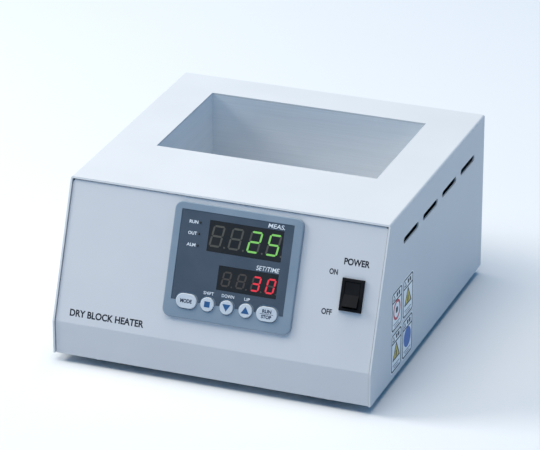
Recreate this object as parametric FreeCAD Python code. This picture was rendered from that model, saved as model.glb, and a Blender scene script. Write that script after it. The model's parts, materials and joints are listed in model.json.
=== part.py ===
import FreeCAD, Part
import math
import os

# Dry block heater, in millimetres. X runs across the front, +Y to the rear, +Z up.
# The origin is on the table under the middle of the outer box.

V = FreeCAD.Vector

# Outer casing
body_width = 220.0
body_depth = 230.0
foot_height = 6.0
slope_setback = 35.0
skirt_height = 23.0
sheet = 1.2
panel_gap = 0.8
panel_side_gap = 0.5
panel_set_back = 1.0
flange_depth = 8.5
cover_edge_radius = 1.5
bend_radius = 2.5
panel_corner_radius = 2.0
rear_lip_depth = 14.0
rear_screw_drop = 8.0
fit_gap = 0.3
past = 1.0

# Screws: the small ones are M3 and the large ones M4
screw_radius = 1.5
screw_hole = 1.6
screw_head_radius = 2.8
screw_head_height = 1.8
large_screw_radius = 2.0
large_screw_hole = 2.05
large_head_radius = 3.8
flat_head_height = 2.0
tall_head_height = 2.4
thread_clearance = 0.02
bore_clearance = 0.05
thread_reach = 6.0

# Well in the top and the heater stack under it
well_width = 155.0
well_front_margin = 66.5
well_rear_margin = 28.5
well_depth = 55.0
liner_wall = 1.0
liner_flange = 6.0
plate_overlap = 1.5
plate_thickness = 10.0
heater_thickness = 2.0
clamp_thickness = 2.0
heater_margin = 10.0
insulation_thickness = 12.0
insulation_bottom_thickness = 9.0
tray_thickness = 0.8
space_under_tray = 30.8
plate_rebate = 1.0
plate_clearance = 0.1
standoff_radius = 4.0
standoff_inset = 5.0
clamp_screw_inset = 20.0
clamp_hole = 2.2
post_clearance = 0.8
post_socket_depth = 8.0
post_screw_length = 8.0
floor_vent_length = 20.0
floor_vent_width = 3.0
sensor_radius = 2.0
sensor_length = 55.0
sensor_depth_in_plate = 40.0
sensor_collar_radius = 3.2
sensor_collar_length = 6.0
cutout_ear_x = 14.0
cutout_ear_y = 4.0
cutout_ear_thickness = 1.0
cutout_screw_x = 11.5
cutout_head_radius = 2.3
cutout_head_height = 1.5
cutout_disc_radius = 8.0
cutout_disc_height = 5.0
cutout_cap_radius = 6.5
cutout_cap_height = 11.0
cutout_blade_x = 4.0
cutout_blade_width = 4.8
cutout_blade_thickness = 0.8
cutout_blade_end = 18.0
cutout_bay_x = 19.0
cutout_bay_y = 10.0

# Controller, in the plane of the sloping panel: x across, v up the slope, w outward
bezel_width = 88.4
bezel_height = 75.0
bezel_x = 9.2
bezel_v = 53.0
bezel_radius = 5.3
bezel_proud = 2.0
bezel_lip = 3.7
bezel_wall = 2.0
bezel_front_wall = 3.5
bezel_edge_radius = 0.8
collar_depth = 12.0
collar_radius = 0.8
cavity_radius = 0.5
overlay_thickness = 0.4
overlay_recess = 0.6
overlay_left_margin = 5.0
overlay_right_margin = 6.2
overlay_top_margin = 4.7
window_right_inset = 6.5
upper_window_width = 50.7
upper_window_height = 20.0
upper_window_v = 71.0
lower_window_width = 40.7
lower_window_height = 15.7
lower_window_v = 45.2
window_thickness = 1.8
window_clearance = 0.1
digit_module_depth = 7.9
module_side_gap = 0.2
upper_module_height = 19.0
lower_module_height = 12.8
lamp_inset = 13.5
lamp_drops = (7.5, 14.8, 22.3)
lamp_radius = 0.7
lamp_hole = 0.8
key_row_v = 27.0
oval_key_width = 14.2
oval_key_height = 9.6
round_key_diameter = 9.2
key_proud = 1.0
key_travel = 0.8
key_clearance = 0.3
key_flange = 0.6
key_flange_thickness = 1.2
key_edge_radius = 0.5
key_scallop = 1.0
mat_inset = 2.5
mat_height = 10.0
mat_thickness = 1.0
dome_foot_radius = 3.2
dome_top_radius = 2.2
dome_gap = 0.2
board_thickness = 1.6
board_gap = 0.2
board_screw_radius = 1.0
board_screw_bite = 4.0
board_screw_hole = 1.2
case_depth = 20.0
power_board_gap = 1.0
strip_length = 66.0
strip_height = 12.0
strip_depth = 8.0
pocket_count = 8
pocket_pitch = 8.0
pocket_width = 5.0
pocket_height = 6.0
pocket_depth = 5.0

# Power switch, in the same plane
switch_x = 90.6
switch_v = 47.5
switch_width = 15.0
switch_height = 21.0
switch_bezel = 1.8
switch_body_depth = 14.0
switch_edge_radius = 0.6
switch_hole_inset = 0.9
barrel_inset = 1.1
rocker_swing = 24.0
lever_swing = 14.0
terminal_width = 4.8
terminal_thickness = 0.8
terminal_end = -22.0
contact_offset = -4.5

# Mains inlet on the rear panel
inlet_x = -55.0
inlet_width = 27.5
inlet_height = 28.0
inlet_depth = 30.0
inlet_flange_width = 50.0
inlet_flange_height = 31.0
inlet_protrusion = 4.0
inlet_flange_thickness = 3.0
inlet_flange_radius = 5.0
inlet_wall = 1.5
inlet_floor_gap = 0.5
inlet_screw_spacing = 40.0
inlet_countersink = 1.6
nut_thickness = 2.4
nut_radius = 3.0
socket_width = 24.0
socket_height = 16.5
socket_depth = 17.0
socket_chamfer = 4.0
pin_width = 2.0
pin_height = 4.0
pin_set_back = 2.0
pin_root = 5.0
blade_length = 8.0
drawer_height = 6.6
drawer_depth = 20.0
drawer_clearance = 0.25
drawer_set_back = 0.2
drawer_front = 0.6
slot_end_gap = 0.4
fuse_radius = 2.2
fuse_cap_radius = 2.6
fuse_length = 20.0
fuse_cap_length = 5.0
fuse_set_back = 14.0

# Relay and earth screw
relay_x = -72.0
relay_from_front = 47.0
relay_width = 44.0
relay_length = 58.0
relay_height = 22.0
relay_screw_reach = 24.0
relay_ear_thickness = 4.0
relay_head_recess = 4.5
relay_screw_hole = 2.1
relay_step_height = 15.0
earth_radius = 2.0
earth_head_height = 2.2
earth_length = 14.0
earth_nut_radius = 4.0
earth_nut_thickness = 3.2
earth_x = 30.0
earth_z = 24.0

# Feet
foot_radius = 7.0
foot_taper = 0.8
foot_recess_radius = 4.2
front_foot_x = 65.0
rear_foot_x = 93.0
foot_inset = 16.0

# Vent slots and labels on the sides
vent_length = 30.0
vent_width = 4.6
vent_pitch = 39.2
vent_count = 4
vent_first = 61.2
vent_below_top = 22.5
label_width = 20.0
label_height = 28.0
label_gap = 2.0
label_row_gap = 1.4
label_first_y = 39.4
label_first_z = 4.0
label_thickness = 0.15
label_radius = 1.5

# Places worked out from the sizes above
half_width = body_width / 2
y_cover_front = -(body_depth + inlet_protrusion) / 2
y_front = y_cover_front + panel_set_back
y_rear = y_cover_front + body_depth
stack_height = (tray_thickness + insulation_bottom_thickness + clamp_thickness + heater_thickness
                + plate_thickness)
body_height = 2 * sheet + space_under_tray + stack_height + well_depth
z_bottom = foot_height
z_top = foot_height + body_height
z_bend = z_bottom + skirt_height
slope_angle = math.degrees(math.atan2(body_height - skirt_height, slope_setback))
slope_run = slope_setback / (body_height - skirt_height)
slope_place = FreeCAD.Placement(V(0, y_front, z_bend), FreeCAD.Rotation(V(1, 0, 0), slope_angle))
base_bottom = z_bottom + sheet
base_top = base_bottom + sheet
well_length = body_depth - slope_setback - well_front_margin - well_rear_margin
well_y = y_rear - well_rear_margin - well_length / 2
z_plate_top = z_top - well_depth
z_plate_bottom = z_plate_top - plate_thickness
z_heater_bottom = z_plate_bottom - heater_thickness
z_clamp_bottom = z_heater_bottom - clamp_thickness
z_slab_bottom = z_clamp_bottom - insulation_bottom_thickness
z_tray_bottom = z_slab_bottom - tray_thickness
plate_half_x = well_width / 2 + liner_wall + plate_overlap
plate_half_y = well_length / 2 + liner_wall + plate_overlap
slab_outer_x = plate_half_x + fit_gap + insulation_thickness
slab_outer_y = plate_half_y + fit_gap + insulation_thickness
heater_half_x = plate_half_x - heater_margin
heater_half_y = plate_half_y - heater_margin

# Depths before and behind the controller's and the switch's front walls, for cuts right through them
through_back = -5.0
through_front = 5.0

# Edges closer to a plane than this lie in it
hair = 0.01


# ---------- shared shapes ----------

def box(x0, x1, y0, y1, z0, z1):
    """A block between two corners."""
    return Part.makeBox(x1 - x0, y1 - y0, z1 - z0, V(x0, y0, z0))


def rod(radius, start, direction, length):
    """A round bar from start along direction."""
    return Part.makeCylinder(radius, length, V(*start), V(*direction))


def rounded_plate(width, height, radius, x, v, w0, w1):
    """A plate with round corners, centred on x and v, from w0 to w1."""
    plate = box(x - width / 2, x + width / 2, v - height / 2, v + height / 2, w0, w1)
    upright = [e for e in plate.Edges if abs(e.tangentAt(e.FirstParameter).z) > 0.9]
    return plate.makeFillet(radius, upright)


def profile(points, x0, x1):
    """A closed outline of (y, z) points carried across from x0 to x1."""
    corners = [V(x0, y, z) for y, z in points]
    face = Part.Face(Part.makePolygon(corners + corners[:1]))
    return face.extrude(V(x1 - x0, 0, 0))


def on_slope(shape):
    """Moves a shape from the plane of the sloping panel to its place."""
    placed = shape.copy()
    placed.Placement = slope_place.multiply(placed.Placement)
    return placed


def slope_y(z):
    """The outer face of the sloping panel at a height."""
    return y_front + (z - z_bend) * slope_run


def fused(shapes):
    """Joins overlapping or touching shapes into one solid."""
    return shapes[0].multiFuse(shapes[1:]).removeSplitter()


def pan_screw(shank, head, head_height, length, seat, direction):
    """A cross-recessed pan-head screw: seat is the middle of the face under its head, direction goes
    into the hole. The head's round edge and its cross are shares of the head, as on a real screw."""
    edge_share = 0.4
    arm_share = 0.55
    blade_share = 0.13
    recess_share = 0.5
    axis = V(*direction)
    shaft = Part.makeCylinder(shank, length, V(*seat), axis)
    cap = Part.makeCylinder(head, head_height, V(*seat), axis.negative())
    rim = [e for e in cap.Edges if e.BoundBox.Center.sub(V(*seat)).Length > head_height * 0.9]
    cap = cap.makeFillet(head_height * edge_share, rim[:1])
    arm = head * arm_share
    blade = head * blade_share
    sunk = head_height * recess_share
    recess = box(-arm, arm, -blade, blade, 0, sunk).fuse(box(-blade, blade, -arm, arm, 0, sunk))
    turn = FreeCAD.Rotation(V(0, 0, 1), axis)
    recess.Placement = FreeCAD.Placement(V(*seat).sub(axis * head_height), turn)
    return cap.cut(recess).fuse(shaft)


def hex_nut(radius, thickness, bore, spot):
    """A nut across the corners of a hexagon, its face at spot and its body towards the front."""
    x, y, z = spot
    turns = [math.radians(60 * i) for i in range(6)]
    ring = [V(x + radius * math.cos(turn), y - thickness, z + radius * math.sin(turn)) for turn in turns]
    nut = Part.Face(Part.makePolygon(ring + ring[:1])).extrude(V(0, thickness, 0))
    return nut.cut(rod(bore, (x, y - thickness - past, z), (0, 1, 0), thickness + 2 * past))


def bent_rod(points, radius):
    """A lead along straight runs joined by tangent arcs as large as the runs allow."""
    run_share = 0.45
    spots = [V(*p) for p in points]
    edges = []
    start = spots[0]
    for before, corner, after in zip(spots, spots[1:], spots[2:]):
        back = before.sub(corner)
        ahead = after.sub(corner)
        trim = run_share * min(back.Length, ahead.Length)
        back.normalize()
        ahead.normalize()
        entry = corner.add(back * trim)
        leave = corner.add(ahead * trim)
        half_turn = back.getAngle(ahead) / 2
        bisector = back.add(ahead)
        bisector.normalize()
        to_centre = trim / math.cos(half_turn)
        middle = corner.add(bisector * (to_centre - trim * math.tan(half_turn)))
        edges.append(Part.LineSegment(start, entry).toShape())
        edges.append(Part.Arc(entry, middle, leave).toShape())
        start = leave
    edges.append(Part.LineSegment(start, spots[-1]).toShape())
    wire = Part.Wire(edges)
    heading = spots[1].sub(spots[0])
    ring = Part.Wire(Part.makeCircle(radius, spots[0], heading))
    return wire.makePipeShell([ring], True, True)


# ---------- casing ----------

cover_screw_y = [y_front + 45, y_rear - 45]
flange_screw_x = [-80.0, 80.0]
cover_flange_x = half_width - sheet - (flange_depth - sheet) / 2
panel_half = half_width - sheet - panel_side_gap
panel_top = z_top - sheet - panel_gap
flange_screw_inset = (sheet + flange_depth) / 2


def floor_hole(radius, x, y):
    """A round cut up through the returns and the floor."""
    return rod(radius, (x, y, z_bottom - sheet), (0, 0, 1), 4 * sheet)


def rear_hole(radius, x, z):
    """A round cut through the rear panel and the cover's lip in front of it."""
    return rod(radius, (x, y_rear - 4 * sheet, z), (0, 1, 0), 5 * sheet)


def front_wedge(top):
    """Everything in front of the cover's front edges, which stand proud of the skirt and the slope."""
    far = y_cover_front - body_depth
    below = z_bottom - body_height
    points = [(far, below), (y_cover_front, below), (y_cover_front, z_bend)]
    points += [(slope_y(top) - panel_set_back, top), (far, top)]
    return profile(points, -body_width, body_width)


def vent_slots(side):
    """The row of round-ended vent slots in one side of the cover."""
    slots = []
    z = z_top - vent_below_top
    radius = vent_width / 2
    for index in range(vent_count):
        y0 = y_cover_front + vent_first + index * vent_pitch + radius
        y1 = y0 + vent_length - vent_width
        x0 = side * half_width - 2 * sheet
        slots.append(box(x0, x0 + 4 * sheet, y0, y1, z - radius, z + radius))
        slots.append(rod(radius, (x0, y0, z), (1, 0, 0), 4 * sheet))
        slots.append(rod(radius, (x0, y1, z), (1, 0, 0), 4 * sheet))
    return slots


def make_top_cover():
    """Top and both sides folded from one sheet, with returns along the bottom and a lip at the rear."""
    outer = box(-half_width, half_width, y_cover_front, y_rear, z_bottom, z_top)
    long_edges = [e for e in outer.Edges
                  if e.BoundBox.ZMin > z_top - sheet and e.BoundBox.YLength > body_depth / 2]
    outer = outer.makeFillet(cover_edge_radius, long_edges)
    inner_half = half_width - sheet
    cover = outer.cut(box(-inner_half, inner_half, y_cover_front - past, y_rear + past,
                          z_bottom - past, z_top - sheet))
    returns = []
    for side in (-1, 1):
        x_out = side * inner_half
        x_in = side * (half_width - flange_depth)
        flange = box(min(x_in, x_out), max(x_in, x_out), y_front + flange_depth + panel_gap,
                     y_rear - flange_depth - panel_gap, z_bottom, z_bottom + sheet)
        returns.append(flange)
    lip_rear = y_rear - sheet
    returns.append(box(-inner_half, inner_half, lip_rear - sheet, lip_rear, z_top - rear_lip_depth,
                       z_top - sheet))
    cover = fused([cover] + returns)
    cover = cover.cut(front_wedge(z_top + body_height))
    cuts = [box(-well_width / 2, well_width / 2, well_y - well_length / 2, well_y + well_length / 2,
                z_top - 2 * sheet, z_top + past)]
    cuts += vent_slots(1) + vent_slots(-1)
    for side in (-1, 1):
        for y in cover_screw_y:
            cuts.append(floor_hole(screw_hole, side * cover_flange_x, y))
    cuts += [rear_hole(screw_hole, x, rear_screw_z) for x in rear_screw_x]
    return cover.cut(cuts)


def make_front_panel():
    """Slope and skirt in one folded tray, with returns all round, held from below."""
    rear = flange_depth
    outline = [(y_front, z_bottom), (y_front, z_bend), (slope_y(panel_top), panel_top),
               (slope_y(panel_top) + rear, panel_top), (y_front + rear, z_bend), (y_front + rear, z_bottom)]
    tray = profile(outline, -panel_half, panel_half)
    outer_bend = [e for e in tray.Edges
                  if abs(e.BoundBox.YMax - y_front) < hair and abs(e.BoundBox.ZMin - z_bend) < hair]
    tray = tray.makeFillet(bend_radius, outer_bend)
    top_corners = [e for e in tray.Edges
                   if e.BoundBox.ZMin > panel_top - hair and e.BoundBox.XLength < hair]
    tray = tray.makeFillet(panel_corner_radius, top_corners)
    lean = math.radians(90 - slope_angle)
    inner_top = panel_top - sheet
    z_inner_bend = z_bend - sheet * math.tan(lean / 2)
    shift = sheet / math.cos(lean)
    hollow = [(y_front + sheet, z_bottom + sheet), (y_front + sheet, z_inner_bend),
              (slope_y(inner_top) + shift, inner_top), (slope_y(inner_top) + rear + past, inner_top),
              (y_front + rear + past, z_bottom + sheet)]
    tray = tray.cut(profile(hollow, -panel_half + sheet, panel_half - sheet))
    cutout = rounded_plate(bezel_width - 2 * bezel_lip, bezel_height - 2 * bezel_lip, collar_radius,
                           bezel_x, bezel_v, through_back, through_front)
    half_x = switch_width / 2 - switch_hole_inset
    half_v = switch_height / 2 - switch_hole_inset
    opening = box(switch_x - half_x, switch_x + half_x, switch_v - half_v, switch_v + half_v,
                  through_back, through_front)
    cuts = [on_slope(cutout), on_slope(opening)]
    cuts += [floor_hole(screw_hole, x, y_front + flange_screw_inset) for x in flange_screw_x]
    return tray.cut(cuts)


rear_screw_x = [-85.0, 0.0, 85.0]
rear_screw_z = z_top - rear_screw_drop
inlet_z = base_top + inlet_floor_gap + inlet_height / 2


def make_rear_panel():
    """A flat panel set in between the sides, with a return along the bottom and the inlet cut-out."""
    top = z_top - sheet - fit_gap
    panel = box(-panel_half, panel_half, y_rear - sheet, y_rear, z_bottom, top)
    shelf = box(-panel_half, panel_half, y_rear - flange_depth, y_rear - sheet, z_bottom, z_bottom + sheet)
    panel = panel.fuse(shelf).removeSplitter()
    cut_x = inlet_width / 2 + fit_gap
    cut_z = inlet_height / 2 + fit_gap
    cuts = [box(inlet_x - cut_x, inlet_x + cut_x, y_rear - 2 * sheet, y_rear + past,
                inlet_z - cut_z, inlet_z + cut_z)]
    cuts += [rear_hole(screw_hole, inlet_x + side * inlet_screw_spacing / 2, inlet_z) for side in (-1, 1)]
    cuts += [rear_hole(screw_hole, x, rear_screw_z) for x in rear_screw_x]
    cuts += [floor_hole(screw_hole, x, y_rear - flange_screw_inset) for x in flange_screw_x]
    cuts.append(rear_hole(earth_radius + bore_clearance, earth_x, earth_z))
    return panel.cut(cuts)


floor_vent_x = (-45, -15, 15, 45)
floor_vent_rows = (-22, 22)


def make_base_plate():
    """The flat floor that everything inside stands on, with vent slots under the heater."""
    edge = panel_half - sheet - fit_gap
    plate = box(-edge, edge, y_front + sheet + fit_gap, y_rear - sheet - fit_gap, base_bottom, base_top)
    cuts = []
    half_x = floor_vent_length / 2
    half_y = floor_vent_width / 2
    for x in floor_vent_x:
        for row in floor_vent_rows:
            cuts.append(box(x - half_x, x + half_x, well_y + row - half_y, well_y + row + half_y,
                            base_bottom - past, base_top + past))
    cuts += [floor_hole(large_screw_hole, x, y) for x, y in standoff_spots + foot_spots + relay_spots]
    cuts += [floor_hole(screw_radius + thread_clearance, x, y) for x, y in bottom_screw_spots]
    return plate.cut(cuts)


bottom_screw_spots = [(x, y_front + flange_screw_inset) for x in flange_screw_x]
bottom_screw_spots += [(x, y_rear - flange_screw_inset) for x in flange_screw_x]
bottom_screw_spots += [(s * cover_flange_x, y) for s in (-1, 1) for y in cover_screw_y]
standoff_spots = [(sx * (plate_half_x - standoff_inset), well_y + sy * (plate_half_y - standoff_inset))
                  for sx in (-1, 1) for sy in (-1, 1)]
front_foot_y = y_front + foot_inset
rear_foot_y = y_rear - foot_inset
foot_spots = [(-front_foot_x, front_foot_y), (front_foot_x, front_foot_y),
              (-rear_foot_x, rear_foot_y), (rear_foot_x, rear_foot_y)]
relay_y = y_front + relay_from_front
relay_spots = [(relay_x, relay_y - relay_screw_reach), (relay_x, relay_y + relay_screw_reach)]


def make_cover_screws():
    """Eight pan-head screws from below through the returns into the floor."""
    return [pan_screw(screw_radius, screw_head_radius, screw_head_height, 2 * sheet, (x, y, z_bottom),
                      (0, 0, 1))
            for x, y in bottom_screw_spots]


def make_rear_panel_screws():
    """Three pan-head screws through the rear panel into the cover's lip."""
    length = 5.0
    return [pan_screw(screw_radius, screw_head_radius, screw_head_height, length, (x, y_rear, rear_screw_z),
                      (0, -1, 0)) for x in rear_screw_x]


def make_foot(spot):
    """A tapered rubber foot with a countersunk well for its screw."""
    x, y = spot
    foot = Part.makeCone(foot_radius - foot_taper, foot_radius, base_bottom, V(x, y, 0), V(0, 0, 1))
    bore = rod(large_screw_hole, (x, y, -past), (0, 0, 1), base_bottom + 2 * past)
    recess = rod(foot_recess_radius, (x, y, -past), (0, 0, 1), past + base_bottom / 2)
    return foot.cut([bore, recess])


def make_foot_screws():
    """One screw in each foot, with its head up inside the rubber."""
    seat = base_bottom / 2
    return [pan_screw(large_screw_radius, large_head_radius, flat_head_height, base_top - seat, (x, y, seat),
                      (0, 0, 1)) for x, y in foot_spots]


# ---------- well and heater ----------

def well_block(grow, z0, z1):
    """A block as large as the well, grown all round, between two heights."""
    half_x = well_width / 2 + grow
    half_y = well_length / 2 + grow
    return box(-half_x, half_x, well_y - half_y, well_y + half_y, z0, z1)


clamp_spots = [(sx * (heater_half_x - clamp_screw_inset / 2),
                well_y + sy * (heater_half_y - clamp_screw_inset / 2)) for sx in (-1, 1) for sy in (-1, 1)]
cutout_spots = [(-cutout_screw_x, well_y), (cutout_screw_x, well_y)]
lead_radius = 1.2
lead_hole = 1.5
tray_lead_hole = 2.0
lead_inset_x = 27.0
lead_inset_y = 18.5
lead_spacing = 6.0
lead_spots = [(-plate_half_x + lead_inset_x + lead_spacing * i, well_y - plate_half_y + lead_inset_y)
              for i in range(2)]
sensor_z = z_plate_top - plate_thickness / 2
sensor_y = well_y - plate_half_y


def make_well_liner():
    """The bright sheet walls of the well, from the plate's rebate to a rim under the cover."""
    top = z_top - sheet
    foot = z_plate_top - plate_rebate
    walls = well_block(liner_wall, foot, top)
    rim = well_block(liner_wall + liner_flange, top - liner_wall, top)
    return walls.fuse(rim).cut(well_block(0, foot - past, top + past)).removeSplitter()


def make_heater_plate():
    """The thick aluminium floor of the well, stepped round its edge for the liner and drilled from
    below for its posts and clamp screws, and from the front for its sensor."""
    shoulder = box(-plate_half_x, plate_half_x, well_y - plate_half_y, well_y + plate_half_y,
                   z_plate_bottom, z_plate_top - plate_rebate)
    plate = shoulder.fuse(well_block(-plate_clearance, z_plate_bottom, z_plate_top)).removeSplitter()
    cuts = [rod(sensor_radius + bore_clearance, (0, sensor_y - past, sensor_z), (0, 1, 0),
                sensor_depth_in_plate + 2 * past)]
    depth = thread_reach + past / 2
    for x, y in standoff_spots + clamp_spots:
        cuts.append(rod(large_screw_hole, (x, y, z_plate_bottom - past), (0, 0, 1), depth + past))
    return plate.cut(cuts)


def heater_sheet(z0, z1, extra_holes):
    """A sheet under the plate with the clamp screws' holes and some more, each an x, a y and a radius."""
    sheet_block = box(-heater_half_x, heater_half_x, well_y - heater_half_y, well_y + heater_half_y, z0, z1)
    holes = [(x, y, clamp_hole) for x, y in clamp_spots] + extra_holes
    cuts = [rod(radius, (x, y, z0 - past), (0, 0, 1), z1 - z0 + 2 * past) for x, y, radius in holes]
    return sheet_block.cut(cuts)


def make_plate_heater():
    """The flat heating element against the plate."""
    return heater_sheet(z_heater_bottom, z_plate_bottom, [])


def make_heater_clamp_plate():
    """The plate that presses the element up, with holes for its leads and for the cut-out's screws."""
    holes = [(x, y, lead_hole) for x, y in lead_spots]
    holes += [(x, y, screw_radius + thread_clearance) for x, y in cutout_spots]
    return heater_sheet(z_clamp_bottom, z_heater_bottom, holes)


def make_insulation_walls():
    """Four slabs of mineral wool round the well, standing on the tray."""
    inner_x = plate_half_x + fit_gap
    inner_y = plate_half_y + fit_gap
    top = z_top - sheet - liner_wall - fit_gap
    slabs = []
    for side in (-1, 1):
        x0, x1 = sorted((side * inner_x, side * slab_outer_x))
        slabs.append(box(x0, x1, well_y - inner_y, well_y + inner_y, z_slab_bottom, top))
    for side in (-1, 1):
        y0, y1 = sorted((well_y + side * inner_y, well_y + side * slab_outer_y))
        slabs.append(box(-slab_outer_x, slab_outer_x, y0, y1, z_slab_bottom, top))
    outer_face = well_y - slab_outer_y
    hole = rod(sensor_radius + fit_gap, (0, outer_face - past, sensor_z), (0, 1, 0),
               insulation_thickness + 2 * past)
    return [slab.cut(hole) for slab in slabs]


def stack_cuts(z0, z1, lead_radius_cut):
    """Cuts between two heights for the posts, clamp screws, leads and cut-out under the plate."""
    holes = [(x, y, standoff_radius + post_clearance) for x, y in standoff_spots]
    holes += [(x, y, clamp_hole) for x, y in clamp_spots]
    holes += [(x, y, lead_radius_cut) for x, y in lead_spots]
    cuts = [rod(radius, (x, y, z0 - past), (0, 0, 1), z1 - z0 + 2 * past) for x, y, radius in holes]
    cuts.append(box(-cutout_bay_x, cutout_bay_x, well_y - cutout_bay_y, well_y + cutout_bay_y,
                    z0 - past, z1 + past))
    return cuts


def make_insulation_bottom():
    """The slab under the clamp plate, cut away round the posts, screws and cut-out."""
    slab = box(-plate_half_x, plate_half_x, well_y - plate_half_y, well_y + plate_half_y,
               z_slab_bottom, z_clamp_bottom)
    return slab.cut(stack_cuts(z_slab_bottom, z_clamp_bottom, lead_hole))


def make_insulation_tray():
    """The thin tray that carries the insulation and hangs from the clamp screws."""
    tray = box(-slab_outer_x, slab_outer_x, well_y - slab_outer_y, well_y + slab_outer_y,
               z_tray_bottom, z_slab_bottom)
    return tray.cut(stack_cuts(z_tray_bottom, z_slab_bottom, tray_lead_hole))


def make_clamp_screws():
    """Four long screws from the tray up into the heater plate."""
    length = z_plate_bottom + thread_reach - z_tray_bottom
    return [pan_screw(large_screw_radius, large_head_radius, tall_head_height, length, (x, y, z_tray_bottom),
                      (0, 0, 1)) for x, y in clamp_spots]


def make_plate_standoffs():
    """Four posts that hold the heater plate up off the floor, each with a stud at its top."""
    posts = []
    for x, y in standoff_spots:
        post = rod(standoff_radius, (x, y, base_top), (0, 0, 1), z_plate_bottom - base_top)
        stud = rod(large_screw_radius, (x, y, z_plate_bottom - past), (0, 0, 1), thread_reach + past)
        socket = rod(large_screw_hole, (x, y, base_top - past), (0, 0, 1), post_socket_depth + past)
        posts.append(post.fuse(stud).cut(socket))
    return posts


def make_standoff_screws():
    """One screw from below into each post."""
    return [pan_screw(large_screw_radius, large_head_radius, flat_head_height, post_screw_length,
                      (x, y, base_bottom), (0, 0, 1)) for x, y in standoff_spots]


def make_temperature_sensor():
    """A sheathed probe in the plate's bore, with a collar where its lead begins."""
    start = sensor_y + sensor_depth_in_plate - sensor_length
    probe = rod(sensor_radius, (0, start, sensor_z), (0, 1, 0), sensor_length)
    collar = rod(sensor_collar_radius, (0, start - sensor_collar_length, sensor_z), (0, 1, 0),
                 sensor_collar_length + past)
    return probe.fuse(collar)


def make_thermal_cutout():
    """A disc thermostat held up against the clamp plate, with two blade terminals."""
    ear_bottom = z_clamp_bottom - cutout_ear_thickness
    cap_bottom = z_clamp_bottom - cutout_cap_height
    ears = box(-cutout_ear_x, cutout_ear_x, well_y - cutout_ear_y, well_y + cutout_ear_y,
               ear_bottom, z_clamp_bottom)
    disc = rod(cutout_disc_radius, (0, well_y, z_clamp_bottom - cutout_disc_height), (0, 0, 1),
               cutout_disc_height)
    cap = rod(cutout_cap_radius, (0, well_y, cap_bottom), (0, 0, 1),
              cutout_cap_height - cutout_disc_height + past)
    half_x = cutout_blade_thickness / 2
    half_y = cutout_blade_width / 2
    blades = [box(x - half_x, x + half_x, well_y - half_y, well_y + half_y,
                  z_clamp_bottom - cutout_blade_end, cap_bottom + past)
              for x in (-cutout_blade_x, cutout_blade_x)]
    cutout = fused([ears, disc, cap] + blades)
    holes = [rod(screw_radius + bore_clearance, (x, y, ear_bottom - past), (0, 0, 1),
                 cutout_ear_thickness + 2 * past) for x, y in cutout_spots]
    return cutout.cut(holes)


def make_cutout_screws():
    """Two small screws through the thermostat's ears into the clamp plate."""
    seat = z_clamp_bottom - cutout_ear_thickness
    return [pan_screw(screw_radius, cutout_head_radius, cutout_head_height, z_heater_bottom - seat,
                      (x, y, seat), (0, 0, 1)) for x, y in cutout_spots]


# ---------- controller, in the plane of the slope ----------

field_x0 = bezel_x - bezel_width / 2 + overlay_left_margin
field_x1 = bezel_x + bezel_width / 2 - overlay_right_margin
field_v1 = bezel_v + bezel_height / 2 - overlay_top_margin
window_right = field_x1 - window_right_inset
upper_window_x = window_right - upper_window_width / 2
lower_window_x = window_right - lower_window_width / 2
wall_back = bezel_proud - bezel_front_wall
collar_width = bezel_width - 2 * bezel_lip - 2 * fit_gap
collar_height = bezel_height - 2 * bezel_lip - 2 * fit_gap
cavity_width = collar_width - 2 * bezel_wall
cavity_height = collar_height - 2 * bezel_wall
module_front = -0.3
board_front = module_front - digit_module_depth
board_back = board_front - board_thickness
key_flange_front = wall_back - key_clearance
key_flange_back = key_flange_front - key_flange_thickness
key_face = bezel_proud + key_proud
dome_top = key_flange_back - key_travel - dome_gap
post_radius = 2.2
post_wall_gap = 0.5
post_top_inset = 3.0
post_above_keys = 11.0
post_reach = cavity_width / 2 - post_radius - post_wall_gap
post_rows = (bezel_v + cavity_height / 2 - post_top_inset, key_row_v + post_above_keys)
post_spots = [(bezel_x + side * post_reach, v) for v in post_rows for side in (-1, 1)]
lamp_x = field_x0 + lamp_inset
lamp_rows = [field_v1 - drop for drop in lamp_drops]
# Each key's middle from the field's left edge, its width and its height
key_places = {
    "key_mode": (field_x0 + 11.0, oval_key_width, oval_key_height),
    "key_shift": (field_x0 + 25.5, round_key_diameter, round_key_diameter),
    "key_down": (field_x0 + 38.7, round_key_diameter, round_key_diameter),
    "key_up": (field_x0 + 51.8, round_key_diameter, round_key_diameter),
    "key_run_stop": (field_x0 + 66.4, oval_key_width, oval_key_height),
}


def key_outline(name, grow, w0, w1):
    """A key's round or oval outline, grown all round, between two depths."""
    x, width, height = key_places[name]
    radius = height / 2 + grow
    reach = (width - height) / 2
    ends = [rod(radius, (x + side * reach, key_row_v, w0), (0, 0, 1), w1 - w0) for side in (-1, 1)]
    if reach < hair:
        return ends[0]
    middle = box(x - reach, x + reach, key_row_v - radius, key_row_v + radius, w0, w1)
    return fused(ends + [middle])


def window_block(width, height, x, v, grow, w0, w1):
    """The block that a display window fills, grown all round."""
    return box(x - width / 2 - grow, x + width / 2 + grow, v - height / 2 - grow, v + height / 2 + grow,
               w0, w1)


def front_cuts(key_grow):
    """The cuts through the controller's front for its windows, keys and lamps."""
    cuts = [window_block(upper_window_width, upper_window_height, upper_window_x, upper_window_v,
                         window_clearance, through_back, through_front),
            window_block(lower_window_width, lower_window_height, lower_window_x, lower_window_v,
                         window_clearance, through_back, through_front)]
    cuts += [key_outline(name, key_grow, through_back, through_front) for name in key_places]
    cuts += [rod(lamp_hole, (lamp_x, v, through_back), (0, 0, 1), through_front - through_back)
             for v in lamp_rows]
    return cuts


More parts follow.
